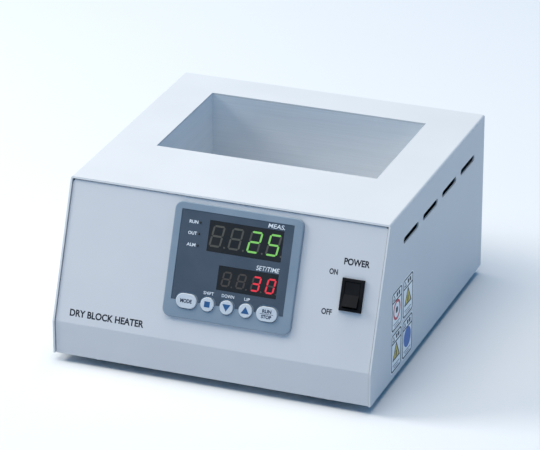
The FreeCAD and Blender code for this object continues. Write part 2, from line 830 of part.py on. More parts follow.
def make_controller_bezel():
    """A moulded frame: its lip lies on the panel and its collar passes through it."""
    lip = rounded_plate(bezel_width, bezel_height, bezel_radius, bezel_x, bezel_v, 0, bezel_proud)
    rim = [e for e in lip.Edges if e.BoundBox.ZMin > bezel_proud - hair]
    lip = lip.makeFillet(bezel_edge_radius, rim)
    collar = rounded_plate(collar_width, collar_height, collar_radius, bezel_x, bezel_v,
                           -collar_depth, bezel_proud / 2)
    cavity = rounded_plate(cavity_width, cavity_height, cavity_radius, bezel_x, bezel_v,
                           -collar_depth - past, wall_back)
    frame = lip.fuse(collar).cut(cavity)
    post_length = wall_back - board_front + past
    posts = [rod(post_radius, (x, v, board_front), (0, 0, 1), post_length) for x, v in post_spots]
    frame = fused([frame] + posts)
    bore = board_screw_radius + bore_clearance
    bore_length = board_screw_bite + 2 * past
    cuts = [box(field_x0, field_x1, key_row_v, field_v1, bezel_proud - overlay_recess, bezel_proud + past)]
    cuts += front_cuts(key_clearance)
    cuts += [rod(bore, (x, v, board_front - past), (0, 0, 1), bore_length) for x, v in post_spots]
    return on_slope(frame.cut(cuts))


def make_controller_overlay():
    """The dark printed sheet in the bezel's recess, scalloped round the keys."""
    back = bezel_proud - overlay_recess
    front = back + overlay_thickness
    gap = window_clearance
    film = box(field_x0 + gap, field_x1 - gap, key_row_v + gap, field_v1 - gap, back, front)
    return on_slope(film.cut(front_cuts(key_scallop)))


def make_window(width, height, x, v):
    """A smoked lens over one row of digits."""
    front = bezel_proud - overlay_recess + overlay_thickness
    return on_slope(window_block(width, height, x, v, 0, front - window_thickness, front))


def make_digits(width, height, x, v):
    """An LED module standing on the display board behind its lens."""
    return on_slope(window_block(width, height, x, v, 0, board_front, module_front))


def make_key(name):
    """One key cap with its retaining flange behind the bezel's wall."""
    cap = key_outline(name, 0, key_flange_back, key_face)
    rim = [e for e in cap.Edges if e.BoundBox.ZMin > key_face - hair]
    cap = cap.makeFillet(key_edge_radius, rim)
    flange = key_outline(name, key_flange, key_flange_back, key_flange_front)
    return on_slope(cap.fuse(flange))


def make_key_mat():
    """A silicone mat on the board with one dome under each key."""
    mat = box(field_x0 + mat_inset, field_x1 - mat_inset, key_row_v - mat_height / 2,
              key_row_v + mat_height / 2,
              board_front, board_front + mat_thickness)
    foot = board_front + mat_thickness / 2
    domes = [Part.makeCone(dome_foot_radius, dome_top_radius, dome_top - foot, V(x, key_row_v, foot),
                           V(0, 0, 1))
             for x, width, height in key_places.values()]
    return on_slope(fused([mat] + domes))


def make_display_board():
    """The board behind the bezel, with the three status lamps soldered on it."""
    half_x = cavity_width / 2 - board_gap
    half_v = cavity_height / 2 - board_gap
    board = box(bezel_x - half_x, bezel_x + half_x, bezel_v - half_v, bezel_v + half_v, board_back,
                board_front)
    holes = [rod(board_screw_hole, (x, v, board_back - past), (0, 0, 1), board_thickness + 2 * past)
             for x, v in post_spots]
    lamp_length = bezel_proud - overlay_thickness - board_front
    lamps = [on_slope(rod(lamp_radius, (lamp_x, v, board_front), (0, 0, 1), lamp_length)) for v in lamp_rows]
    return [on_slope(board.cut(holes))] + lamps


def make_board_screws():
    """Four small screws that hold the board on the bezel's posts."""
    head_radius = 1.9
    head_height = 1.2
    length = board_thickness + board_screw_bite
    return [on_slope(pan_screw(board_screw_radius, head_radius, head_height, length, (x, v, board_back),
                               (0, 0, 1))) for x, v in post_spots]


case_back = -collar_depth - case_depth


def make_controller_case():
    """The closed box behind the collar."""
    outer = rounded_plate(collar_width, collar_height, collar_radius, bezel_x, bezel_v, case_back,
                          -collar_depth)
    inner = rounded_plate(cavity_width, cavity_height, cavity_radius, bezel_x, bezel_v,
                          case_back + bezel_wall,
                          -collar_depth + past)
    return on_slope(outer.cut(inner))


def make_power_board():
    """The supply board on the case's rear wall, with its transformer, relay and capacitors."""
    back = case_back + bezel_wall
    top = back + board_thickness
    half_x = cavity_width / 2 - power_board_gap
    half_v = cavity_height / 2 - power_board_gap
    board = box(bezel_x - half_x, bezel_x + half_x, bezel_v - half_v, bezel_v + half_v, back, top)
    transformer_side = 24.0
    transformer_height = 13.0
    transformer = rounded_plate(transformer_side, transformer_side, 1.0, bezel_x - 18.0, bezel_v - 10.0,
                                top, top + transformer_height)
    relay_side = 19.0
    relay_depth = 15.0
    tall = 12.0
    relay = rounded_plate(relay_side, relay_depth, 1.0, bezel_x + 15.5, bezel_v - 12.5, top, top + tall)
    can_radius = 4.0
    can_spots = [(bezel_x + 10.0, bezel_v + 16.0), (bezel_x + 21.0, bezel_v + 16.0)]
    cans = [rod(can_radius, (x, v, top), (0, 0, 1), tall) for x, v in can_spots]
    return [on_slope(shape) for shape in [board, transformer, relay] + cans]


def make_controller_terminal():
    """A strip of screw terminals across the back of the case."""
    face = case_back - strip_depth
    strip = box(bezel_x - strip_length / 2, bezel_x + strip_length / 2,
                bezel_v - strip_height / 2, bezel_v + strip_height / 2, face, case_back)
    first = bezel_x - pocket_pitch * (pocket_count - 1) / 2
    pockets = []
    for index in range(pocket_count):
        x = first + pocket_pitch * index
        pockets.append(box(x - pocket_width / 2, x + pocket_width / 2, bezel_v - pocket_height / 2,
                           bezel_v + pocket_height / 2, face - past, face + pocket_depth))
    return on_slope(strip.cut(pockets))


bracket_gap = 0.2
bracket_face = collar_width / 2 + bracket_gap
bracket_tab_w = -9.0
strap_thickness = 1.5
strap_height = 16.0
strap_end_gap = 4.0
tab_thickness = 2.0
tab_height = 12.0
tab_reach = 9.0
tab_screw_reach = 5.0


def make_controller_brackets():
    """Two clips on the case's sides, each with a tab for its clamping screw."""
    clips = []
    for side in (-1, 1):
        x0, x1 = sorted((bezel_x + side * bracket_face, bezel_x + side * (bracket_face + strap_thickness)))
        strap = box(x0, x1, bezel_v - strap_height / 2, bezel_v + strap_height / 2,
                    case_back + strap_end_gap, bracket_tab_w + tab_thickness)
        t0, t1 = sorted((bezel_x + side * bracket_face, bezel_x + side * (bracket_face + tab_reach)))
        tab = box(t0, t1, bezel_v - tab_height / 2, bezel_v + tab_height / 2,
                  bracket_tab_w, bracket_tab_w + tab_thickness)
        x_screw = bezel_x + side * (bracket_face + tab_screw_reach)
        hole = rod(screw_radius + bore_clearance, (x_screw, bezel_v, bracket_tab_w - past), (0, 0, 1),
                   tab_thickness + 2 * past)
        clips.append(on_slope(fused([strap, tab]).cut(hole)))
    return clips


def make_bracket_screws():
    """Two screws that press the clips back from the panel."""
    length = -sheet - bracket_tab_w
    spots = [(bezel_x + side * (bracket_face + tab_screw_reach), bezel_v, bracket_tab_w) for side in (-1, 1)]
    return [on_slope(pan_screw(screw_radius, screw_head_radius, screw_head_height, length, spot, (0, 0, 1)))
            for spot in spots]


# ---------- power switch, in the plane of the slope ----------

pivot_w = 0.5
pivot_radius = 1.0
pivot_hole = 1.06
rocker_half = 7.8
rocker_width = 10.0
rocker_ridge = 3.2
rocker_valley = 1.6
rocker_belly = -3.0
rocker_belly_half = 3.0
stub_length = 0.8
pivot_end_gap = 0.2
stem_radius = 2.2
stem_end = -6.0
plunger_radius = 1.4
plunger_tip = -7.6
plunger_length = 5.2
chamber_half = 8.6
chamber_width = 10.6
chamber_floor = -12.4
lever_pivot_w = -9.6
lever_half = 5.6
lever_width = 5.0
lever_thickness = 0.6
bead_radius = 0.45
rest_gap = 0.42
contact_gap = 1.3


def turned(shape, w, angle):
    """Turns a switch piece about an axis across the switch."""
    moved = shape.copy()
    moved.rotate(V(switch_x, switch_v, w), V(1, 0, 0), angle)
    return moved


def make_switch_body():
    """The black housing: a bezel on the panel and a chamber behind it."""
    half_x = switch_width / 2
    half_v = switch_height / 2
    bezel = box(switch_x - half_x, switch_x + half_x, switch_v - half_v, switch_v + half_v, 0, switch_bezel)
    rim = [e for e in bezel.Edges if e.BoundBox.ZMin > switch_bezel - hair]
    bezel = bezel.makeFillet(switch_edge_radius, rim)
    barrel_x = half_x - barrel_inset
    barrel_v = half_v - barrel_inset
    barrel = box(switch_x - barrel_x, switch_x + barrel_x, switch_v - barrel_v, switch_v + barrel_v,
                 -switch_body_depth, switch_bezel / 2)
    chamber = box(switch_x - chamber_width / 2, switch_x + chamber_width / 2, switch_v - chamber_half,
                  switch_v + chamber_half, chamber_floor, through_front)
    body = bezel.fuse(barrel).cut(chamber)
    pivot_half = rocker_width / 2 + stub_length + 2 * pivot_end_gap
    cuts = [rod(pivot_hole, (switch_x - pivot_half, switch_v, pivot_w), (1, 0, 0), 2 * pivot_half)]
    slot_x = terminal_width / 2 + bore_clearance
    slot_v = terminal_thickness / 2 + bore_clearance
    for v in (switch_v, switch_v + contact_offset):
        cuts.append(box(switch_x - slot_x, switch_x + slot_x, v - slot_v, v + slot_v,
                        -switch_body_depth - past, chamber_floor + past))
    return on_slope(body.cut(cuts))


def make_switch_rocker():
    """The rocker with its two pivot stubs and the hollow stem for its plunger."""
    outline = [(-rocker_half, rocker_ridge), (-rocker_half, 0.0), (-rocker_belly_half, rocker_belly),
               (rocker_belly_half, rocker_belly), (rocker_half, 0.0), (rocker_half, rocker_ridge),
               (0.0, rocker_valley)]
    corners = [V(switch_x - rocker_width / 2, switch_v + v, w) for v, w in outline]
    paddle = Part.Face(Part.makePolygon(corners + corners[:1])).extrude(V(rocker_width, 0, 0))
    stem = rod(stem_radius, (switch_x, switch_v, stem_end), (0, 0, 1), rocker_belly - stem_end + past)
    stub = rod(pivot_radius, (switch_x - rocker_width / 2 - stub_length, switch_v, pivot_w), (1, 0, 0),
               rocker_width + 2 * stub_length)
    bore = rod(plunger_radius + bore_clearance, (switch_x, switch_v, stem_end - past), (0, 0, 1),
               rocker_belly + past - stem_end + past)
    rocker = fused([paddle, stem, stub]).cut(bore)
    return on_slope(turned(rocker, pivot_w, -rocker_swing / 2))


def make_switch_plunger():
    """The sprung plunger in the rocker's stem, with a round tip."""
    pin = rod(plunger_radius, (switch_x, switch_v, plunger_tip), (0, 0, 1), plunger_length)
    tip = Part.makeSphere(plunger_radius, V(switch_x, switch_v, plunger_tip))
    return on_slope(turned(pin.fuse(tip), pivot_w, -rocker_swing / 2))


def make_switch_lever():
    """The contact lever, with the round bead across it that seesaws in the middle terminal."""
    half_x = lever_width / 2
    half_w = lever_thickness / 2
    lever = box(switch_x - half_x, switch_x + half_x, switch_v - lever_half, switch_v + lever_half,
                lever_pivot_w - half_w, lever_pivot_w + half_w)
    bead = rod(bead_radius, (switch_x - half_x, switch_v, lever_pivot_w), (1, 0, 0), lever_width)
    return on_slope(turned(lever.fuse(bead), lever_pivot_w, lever_swing / 2))


def make_switch_terminals():
    """Two blades through the back of the switch: the lever's rest and the fixed contact."""
    half_x = terminal_width / 2
    half_v = terminal_thickness / 2
    rest = box(switch_x - half_x, switch_x + half_x, switch_v - half_v, switch_v + half_v,
               terminal_end, lever_pivot_w - rest_gap)
    cradle = rod(bead_radius + bore_clearance, (switch_x - half_x - past, switch_v, lever_pivot_w), (1, 0, 0),
                 terminal_width + 2 * past)
    contact_v = switch_v + contact_offset
    contact = box(switch_x - half_x, switch_x + half_x, contact_v - half_v, contact_v + half_v,
                  terminal_end, lever_pivot_w - contact_gap)
    return [on_slope(rest.cut(cradle)), on_slope(contact)]


# ---------- mains inlet ----------

inlet_front = y_rear + inlet_protrusion
socket_z = inlet_z + inlet_height / 2 - inlet_wall - socket_height / 2
drawer_z = inlet_z - inlet_height / 2 + inlet_wall + drawer_height / 2
drawer_width = socket_width
pin_places = [(-7.0, -2.0), (7.0, -2.0), (0.0, 2.0)]
inlet_screw_x = [inlet_x - inlet_screw_spacing / 2, inlet_x + inlet_screw_spacing / 2]
blade_end = inlet_front - inlet_depth - blade_length


def make_inlet_body():
    """An appliance inlet: flange on the panel, socket above, fuse drawer's slot below."""
    flange_front = y_rear + inlet_flange_thickness
    flange = box(inlet_x - inlet_flange_width / 2, inlet_x + inlet_flange_width / 2, y_rear, flange_front,
                 inlet_z - inlet_flange_height / 2, inlet_z + inlet_flange_height / 2)
    corners = [e for e in flange.Edges if e.BoundBox.YLength > inlet_flange_thickness - hair]
    flange = flange.makeFillet(inlet_flange_radius, corners)
    nose = box(inlet_x - inlet_width / 2, inlet_x + inlet_width / 2, y_rear, inlet_front,
               inlet_z - inlet_height / 2, inlet_z + inlet_height / 2)
    barrel = box(inlet_x - inlet_width / 2, inlet_x + inlet_width / 2, inlet_front - inlet_depth, y_rear,
                 inlet_z - inlet_height / 2, inlet_z + inlet_height / 2)
    body = fused([flange, nose, barrel])
    half = socket_width / 2
    z0 = socket_z - socket_height / 2
    z1 = socket_z + socket_height / 2
    mouth = box(inlet_x - half, inlet_x + half, inlet_front - socket_depth, inlet_front + past, z0, z1)
    upper = [e for e in mouth.Edges if e.BoundBox.ZMin > z1 - hair and e.BoundBox.YLength > socket_depth / 2]
    mouth = mouth.makeChamfer(socket_chamfer, upper)
    gap = drawer_clearance
    slot_back = inlet_front - drawer_set_back - drawer_front - drawer_depth - slot_end_gap
    slot = box(inlet_x - drawer_width / 2 - gap, inlet_x + drawer_width / 2 + gap, slot_back,
               inlet_front + past,
               drawer_z - drawer_height / 2 - gap, drawer_z + drawer_height / 2 + gap)
    cuts = [mouth, slot]
    half_x = pin_width / 2 + bore_clearance
    half_z = pin_height / 2 + bore_clearance
    for x, z in pin_places:
        cuts.append(box(inlet_x + x - half_x, inlet_x + x + half_x, inlet_front - inlet_depth - past,
                        inlet_front - pin_root, socket_z + z - half_z, socket_z + z + half_z))
    for x in inlet_screw_x:
        cuts.append(rod(screw_hole, (x, y_rear - past, inlet_z), (0, 1, 0),
                        inlet_flange_thickness + 2 * past))
        cuts.append(Part.makeCone(screw_hole, screw_hole + inlet_countersink, inlet_countersink,
                                  V(x, flange_front - inlet_countersink, inlet_z), V(0, 1, 0)))
    return body.cut(cuts)


def make_inlet_pins():
    """Three flat pins, each one piece with its blade behind the inlet."""
    half_x = pin_width / 2
    half_z = pin_height / 2
    return [box(inlet_x + x - half_x, inlet_x + x + half_x, blade_end, inlet_front - pin_set_back,
                socket_z + z - half_z, socket_z + z + half_z) for x, z in pin_places]


cradle_clearance = 0.4
drawer_floor = 0.7
fuse_lift = 0.2
notch_half = 4.0
notch_depth = 1.0
notch_height = 2.0


def make_fuse_drawer():
    """The drawer under the socket, with a cradle for its fuse and a finger lip."""
    half = drawer_width / 2
    z0 = drawer_z - drawer_height / 2
    z1 = drawer_z + drawer_height / 2
    face = inlet_front - drawer_set_back
    drawer = box(inlet_x - half, inlet_x + half, face - drawer_front - drawer_depth, face, z0, z1)
    cradle_x = fuse_length / 2 + cradle_clearance
    cradle_y = fuse_cap_radius + cradle_clearance
    cradle = box(inlet_x - cradle_x, inlet_x + cradle_x, inlet_front - fuse_set_back - cradle_y,
                 inlet_front - fuse_set_back + cradle_y, z0 + drawer_floor, z1 + past)
    notch = box(inlet_x - notch_half, inlet_x + notch_half, face - notch_depth, inlet_front, z0 - past,
                z0 + notch_height)
    return drawer.cut([cradle, notch])


def make_fuse():
    """A glass tube fuse lying across the drawer, with a metal cap on each end."""
    y = inlet_front - fuse_set_back
    z = drawer_z - drawer_height / 2 + drawer_floor + fuse_cap_radius + fuse_lift
    glass_half = fuse_length / 2 - fuse_cap_length
    tube = rod(fuse_radius, (inlet_x - glass_half, y, z), (1, 0, 0), 2 * glass_half)
    caps = [rod(fuse_cap_radius, (inlet_x + start, y, z), (1, 0, 0), fuse_cap_length)
            for start in (-fuse_length / 2, glass_half)]
    return [tube] + caps


def make_inlet_screws():
    """Two countersunk screws and their nuts."""
    head_height = 1.5
    head_foot = y_rear + inlet_flange_thickness - head_height - bore_clearance
    shank_end = y_rear - 6.0
    parts = []
    for x in inlet_screw_x:
        head = Part.makeCone(screw_radius, screw_radius + head_height, head_height, V(x, head_foot, inlet_z),
                             V(0, 1, 0))
        shank = rod(screw_radius, (x, shank_end, inlet_z), (0, 1, 0), head_foot - shank_end + bore_clearance)
        parts.append(head.fuse(shank))
        parts.append(hex_nut(nut_radius, nut_thickness, screw_radius + thread_clearance,
                             (x, y_rear - sheet, inlet_z)))
    return parts


# ---------- relay, earth and wiring ----------

terminal_bay_x = 13.0
terminal_bay_y = 18.0
terminal_bay_half = 5.0


def make_solid_state_relay():
    """A solid state relay block screwed flat to the floor."""
    top = base_top + relay_height
    block = box(relay_x - relay_width / 2, relay_x + relay_width / 2, relay_y - relay_length / 2,
                relay_y + relay_length / 2, base_top, top)
    cuts = []
    for x, y in relay_spots:
        cuts.append(rod(relay_head_recess, (x, y, base_top + relay_ear_thickness), (0, 0, 1), relay_height))
        cuts.append(rod(relay_screw_hole, (x, y, base_top - past), (0, 0, 1), relay_ear_thickness + 2 * past))
    for side_x in (-1, 1):
        for side_y in (-1, 1):
            x = relay_x + side_x * terminal_bay_x
            y0, y1 = sorted((relay_y + side_y * terminal_bay_y, relay_y + side_y * (relay_length / 2 + past)))
            cuts.append(box(x - terminal_bay_half, x + terminal_bay_half, y0, y1,
                            base_top + relay_step_height, top + past))
    return block.cut(cuts)


def make_relay_screws():
    """Two screws that hold the relay down."""
    seat = base_top + relay_ear_thickness
    return [pan_screw(large_screw_radius, large_head_radius, tall_head_height, seat - base_bottom,
                      (x, y, seat), (0, 0, -1)) for x, y in relay_spots]


def make_earth_stud():
    """The earth screw through the rear panel, with its nut inside."""
    stud = pan_screw(earth_radius, large_head_radius, earth_head_height, earth_length, (earth_x, y_rear,
                                                                                        earth_z),
                     (0, -1, 0))
    nut = hex_nut(earth_nut_radius, earth_nut_thickness, earth_radius + thread_clearance,
                  (earth_x, y_rear - sheet, earth_z))
    return [stud, nut]


def slope_point(x, v, w):
    """A point given in the plane of the slope."""
    spot = slope_place.multVec(V(x, v, w))
    return (spot.x, spot.y, spot.z)


def make_mains_leads():
    """Two leads from the inlet's blades, along the floor and up to the switch."""
    leads = []
    floor_z = base_top + 5
    start_y = blade_end
    terminal_rows = [switch_v + contact_offset, switch_v]
    for index in range(2):
        x = inlet_x + pin_places[index][0]
        z = socket_z + pin_places[index][1]
        row = terminal_rows[index]
        aisle = relay_y + relay_length / 2 + 8 + 6 * index
        drop = switch_x - 4 + 8 * index
        leads.append(bent_rod([(x, start_y, z), (x, start_y - 12, z), (x, start_y - 30, floor_z),
                               (x, aisle + 12, floor_z), (x + 14, aisle, floor_z),
                               (drop - 20, aisle, floor_z), (drop, aisle, floor_z + 18),
                               slope_point(switch_x, row, terminal_end - 13), slope_point(switch_x, row,
                                                                                          terminal_end)],
                              lead_radius))
    return leads


def make_heater_leads():
    """Two leads from the heater down through the insulation to the relay."""
    leads = []
    for index, (x, y) in enumerate(lead_spots):
        end_x = relay_x + 10 + 6 * index
        leads.append(bent_rod([(x, y, z_heater_bottom), (x, y, base_top + 24),
                               (x - 2, y - 14, base_top + 17.5),
                               (end_x, relay_y + relay_length / 2 + 0.4, base_top + 17.5),
                               (end_x, relay_y + 20, base_top + 17.5)],
                              lead_radius))
    return leads


def make_sensor_lead():
    """The sensor's lead, from its collar to the controller's terminals."""
    radius = 1.0
    pocket_x = bezel_x - pocket_pitch * 1.5
    pocket_floor = case_back - strip_depth + pocket_depth
    start_y = sensor_y + sensor_depth_in_plate - sensor_length - sensor_collar_length
    return bent_rod([(0, start_y, sensor_z), (0, start_y - 8, sensor_z),
                     slope_point(pocket_x, bezel_v, case_back - strip_depth - 6),
                     slope_point(pocket_x, bezel_v, pocket_floor)], radius)


def make_safety_labels():
    """Four stickers on the right side, two over two."""
    labels = []
    for column in range(2):
        for row in range(2):
            y0 = y_cover_front + label_first_y + column * (label_width + label_gap)
            z0 = z_bottom + label_first_z + row * (label_height + label_row_gap)
            sticker = box(half_width, half_width + label_thickness, y0, y0 + label_width, z0,
                          z0 + label_height)
            corners = [e for e in sticker.Edges if e.BoundBox.YLength < hair and e.BoundBox.ZLength < hair]
            labels.append(sticker.makeFillet(label_radius, corners))
    return labels


nodes = {
    "top_cover": make_top_cover(),
    "front_panel": make_front_panel(),
    "rear_panel": make_rear_panel(),
    "base_plate": make_base_plate(),
    "cover_screws": make_cover_screws(),
    "rear_panel_screws": make_rear_panel_screws(),
    "foot_front_left": make_foot(foot_spots[0]),
    "foot_front_right": make_foot(foot_spots[1]),
    "foot_rear_left": make_foot(foot_spots[2]),
    "foot_rear_right": make_foot(foot_spots[3]),
    "foot_screws": make_foot_screws(),
    "well_liner": make_well_liner(),
    "heater_plate": make_heater_plate(),
    "plate_heater": make_plate_heater(),
    "heater_clamp_plate": make_heater_clamp_plate(),
    "clamp_screws": make_clamp_screws(),
    "plate_standoffs": make_plate_standoffs(),
    "standoff_screws": make_standoff_screws(),
    "insulation_walls": make_insulation_walls(),
    "insulation_bottom": make_insulation_bottom(),
    "insulation_tray": make_insulation_tray(),
    "temperature_sensor": make_temperature_sensor(),
    "thermal_cutout": make_thermal_cutout(),
    "cutout_screws": make_cutout_screws(),
    "controller_bezel": make_controller_bezel(),
    "controller_overlay": make_controller_overlay(),
    "upper_window": make_window(upper_window_width, upper_window_height, upper_window_x, upper_window_v),
    "lower_window": make_window(lower_window_width, lower_window_height, lower_window_x, lower_window_v),
    "upper_digits": make_digits(upper_window_width - 2 * module_side_gap, upper_module_height,
                                upper_window_x, upper_window_v),
    "lower_digits": make_digits(lower_window_width - 2 * module_side_gap, lower_module_height,
                                lower_window_x, lower_window_v),
    "key_mat": make_key_mat(),
    "display_board": make_display_board(),
    "board_screws": make_board_screws(),
    "controller_case": make_controller_case(),
    "power_board": make_power_board(),
    "controller_terminal": make_controller_terminal(),
    "controller_brackets": make_controller_brackets(),
    "bracket_screws": make_bracket_screws(),
    "switch_body": make_switch_body(),
    "switch_rocker": make_switch_rocker(),
    "switch_plunger": make_switch_plunger(),
    "switch_lever": make_switch_lever(),
    "switch_terminals": make_switch_terminals(),
    "inlet_body": make_inlet_body(),
    "inlet_pins": make_inlet_pins(),
    "fuse_drawer": make_fuse_drawer(),
    "fuse": make_fuse(),
    "inlet_screws": make_inlet_screws(),
    "solid_state_relay": make_solid_state_relay(),
    "relay_screws": make_relay_screws(),
    "earth_stud": make_earth_stud(),
    "mains_leads": make_mains_leads(),
    "heater_leads": make_heater_leads(),
    "sensor_lead": make_sensor_lead(),
    "safety_labels": make_safety_labels(),
}
for key_name in key_places:
    nodes[key_name] = make_key(key_name)

os.makedirs("parts", exist_ok=True)
for name, shape in nodes.items():
    solids = shape if isinstance(shape, list) else [shape]
    pieces = [solid for piece in solids for solid in piece.Solids]
    whole = pieces[0] if len(pieces) == 1 else Part.makeCompound(pieces)
    whole.exportStep(f"parts/{name}.step")
    size = whole.BoundBox
    print(f"{name}: {len(pieces)} solids, {whole.Volume:.1f} mm3, valid {whole.isValid()},",
          f"x {size.XMin:.1f} to {size.XMax:.1f}, y {size.YMin:.1f} to {size.YMax:.1f},",
          f"z {size.ZMin:.1f} to {size.ZMax:.1f}")
print(len(nodes), "nodes")
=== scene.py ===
import json
import math

import bpy
import numpy as np
from mathutils import Matrix, Vector


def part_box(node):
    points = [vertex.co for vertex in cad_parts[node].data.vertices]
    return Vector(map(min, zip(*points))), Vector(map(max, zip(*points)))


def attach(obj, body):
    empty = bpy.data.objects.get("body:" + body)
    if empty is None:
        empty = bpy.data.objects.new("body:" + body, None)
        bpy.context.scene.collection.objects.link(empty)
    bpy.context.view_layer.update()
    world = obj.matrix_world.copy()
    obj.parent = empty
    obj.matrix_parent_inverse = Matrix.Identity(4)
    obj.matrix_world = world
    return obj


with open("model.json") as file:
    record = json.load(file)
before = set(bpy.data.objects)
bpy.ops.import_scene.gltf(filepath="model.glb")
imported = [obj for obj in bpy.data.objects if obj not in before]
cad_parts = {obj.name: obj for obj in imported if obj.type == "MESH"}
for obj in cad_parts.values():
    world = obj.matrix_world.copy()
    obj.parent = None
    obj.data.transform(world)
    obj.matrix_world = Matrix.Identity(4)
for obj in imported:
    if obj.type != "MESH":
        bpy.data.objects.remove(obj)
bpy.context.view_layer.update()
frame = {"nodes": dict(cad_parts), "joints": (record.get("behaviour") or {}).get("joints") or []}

# ---------- Floor, light and camera ----------
# A plain pale table top, a broad warm lamp overhead, a smaller one to the left, a cool sky round them
# for the shaded sides, and a long lens that looks down on the right front corner.
mm = 0.001
table_reach = 40.0
floor_mesh = bpy.data.meshes.new("table_top")
floor_mesh.from_pydata([(-table_reach, -table_reach, 0), (table_reach, -table_reach, 0),
                        (table_reach, table_reach, 0), (-table_reach, table_reach, 0)], [], [(0, 1, 2, 3)])
floor = bpy.data.objects.new("table_top", floor_mesh)
bpy.context.scene.collection.objects.link(floor)


def surface(name, low, high, spots, rough, metallic=0.0, relief=0.0, relief_size=1 * mm, gloss=0.5,
            stretch=(1, 1, 1)):
    """A finish that varies: noise on Object coordinates, its spots about spots across, runs the colour
    from low to high and the roughness over the two values of rough, and a finer noise, relief_size
    across, raises bumps of the height relief. Stretch packs both closer along x, y and z."""
    material = bpy.data.materials.new(name)
    material.use_nodes = True
    tree = material.node_tree
    shader = tree.nodes["Principled BSDF"]
    place = tree.nodes.new("ShaderNodeTexCoord")
    mapping = tree.nodes.new("ShaderNodeMapping")
    mapping.inputs["Scale"].default_value = stretch
    tree.links.new(place.outputs["Object"], mapping.inputs["Vector"])
    cloud = tree.nodes.new("ShaderNodeTexNoise")
    cloud.inputs["Scale"].default_value = 1 / spots
    cloud.inputs["Detail"].default_value = 4
    tree.links.new(mapping.outputs["Vector"], cloud.inputs["Vector"])
    ramp = tree.nodes.new("ShaderNodeValToRGB")
    ramp.color_ramp.elements[0].position = 0.3
    ramp.color_ramp.elements[1].position = 0.7
    ramp.color_ramp.elements[0].color = (*low, 1)
    ramp.color_ramp.elements[1].color = (*high, 1)
    tree.links.new(cloud.outputs["Fac"], ramp.inputs["Fac"])
    tree.links.new(ramp.outputs["Color"], shader.inputs["Base Color"])
    spread = tree.nodes.new("ShaderNodeMapRange")
    spread.inputs["To Min"].default_value = rough[0]
    spread.inputs["To Max"].default_value = rough[1]
    tree.links.new(cloud.outputs["Fac"], spread.inputs["Value"])
    tree.links.new(spread.outputs["Result"], shader.inputs["Roughness"])
    shader.inputs["Metallic"].default_value = metallic
    shader.inputs["Specular IOR Level"].default_value = gloss
    if relief:
        grain = tree.nodes.new("ShaderNodeTexNoise")
        grain.inputs["Scale"].default_value = 1 / relief_size
        grain.inputs["Detail"].default_value = 3
        tree.links.new(mapping.outputs["Vector"], grain.inputs["Vector"])
        bump = tree.nodes.new("ShaderNodeBump")
        bump.inputs["Strength"].default_value = 0.5
        bump.inputs["Distance"].default_value = relief
        tree.links.new(grain.outputs["Fac"], bump.inputs["Height"])
        tree.links.new(bump.outputs["Normal"], shader.inputs["Normal"])
    return material


def add_lamp(name, spot, aim, size, power, tint):
    """A square area lamp, size metres along each edge, that looks from spot to aim."""
    lamp = bpy.data.lights.new(name, "AREA")
    lamp.shape = "SQUARE"
    lamp.size = size
    lamp.energy = power
    lamp.color = tint
    holder = bpy.data.objects.new(name, lamp)
    holder.location = spot
    holder.rotation_euler = (Vector(aim) - Vector(spot)).to_track_quat("-Z", "Y").to_euler()
    bpy.context.scene.collection.objects.link(holder)


floor.data.materials.append(surface("table_paint", (0.69, 0.70, 0.71), (0.71, 0.72, 0.73), spots=900 * mm,
                                    rough=(0.7, 0.8)))
add_lamp("overhead_lamp", spot=(-0.2, -0.1, 3.2), aim=(0, 0, 0.1), size=3.0, power=118,
         tint=(1.0, 0.91, 0.77))
add_lamp("left_lamp", spot=(-1.38, -0.30, 1.1), aim=(0, 0, 0.08), size=0.6, power=21,
         tint=(1.0, 0.97, 0.90))
world = bpy.data.worlds.new("studio")
world.use_nodes = True
sky = world.node_tree.nodes["Background"]
sky.inputs["Color"].default_value = (0.01, 0.20, 0.46, 1)
sky.inputs["Strength"].default_value = 1.0
bpy.context.scene.world = world
bpy.context.scene.view_settings.view_transform = "Standard"

cover_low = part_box("top_cover")[0]
camera_side = math.radians(20.93)
camera_rise = math.radians(24.27)
camera_right = 737.1 * mm
camera_before_cover = 1817.58 * mm
camera_over_cover_foot = 993.46 * mm
camera_data = bpy.data.cameras.new("camera")
camera_data.sensor_width = 36.0
camera_data.lens = 227.0
camera_data.clip_end = 100.0
camera = bpy.data.objects.new("camera", camera_data)
camera.location = (camera_right, cover_low[1] - camera_before_cover, cover_low[2] + camera_over_cover_foot)
looking = Vector((-math.sin(camera_side) * math.cos(camera_rise),
                  math.cos(camera_side) * math.cos(camera_rise), -math.sin(camera_rise)))
camera.rotation_euler = looking.to_track_quat("-Z", "Y").to_euler()
bpy.context.scene.collection.objects.link(camera)
bpy.context.scene.camera = camera

# ---------- Casing ----------
# Cover, front panel and rear panel are folded from steel sheet and stoved in off-white enamel, with
# the faint orange peel of a sprayed coat. The cover's front edges stand a little proud of the panel.
# The front panel's enamel is a darker copy of the same paint: painted shade on the slope and skirt.


def dress(node_names, material):
    """Puts one material on every slot of some CAD nodes."""
    for node_name in node_names:
        for slot in frame["nodes"][node_name].material_slots:
            slot.material = material


enamel = surface("off_white_enamel", (0.61, 0.615, 0.62), (0.635, 0.64, 0.645), spots=60 * mm,
                 rough=(0.40, 0.48), relief=0.04 * mm, relief_size=1.2 * mm)
dress(["top_cover", "rear_panel"], enamel)
# Painted shade: the front panel's enamel is the cover's paint made darker, for the slope and skirt that face
# away from the lamps.
panel_enamel = surface("panel_enamel", (0.585, 0.585, 0.60), (0.61, 0.61, 0.62), spots=50 * mm,
                       rough=(0.40, 0.48), relief=0.04 * mm, relief_size=1.2 * mm)
dress(["front_panel"], panel_enamel)

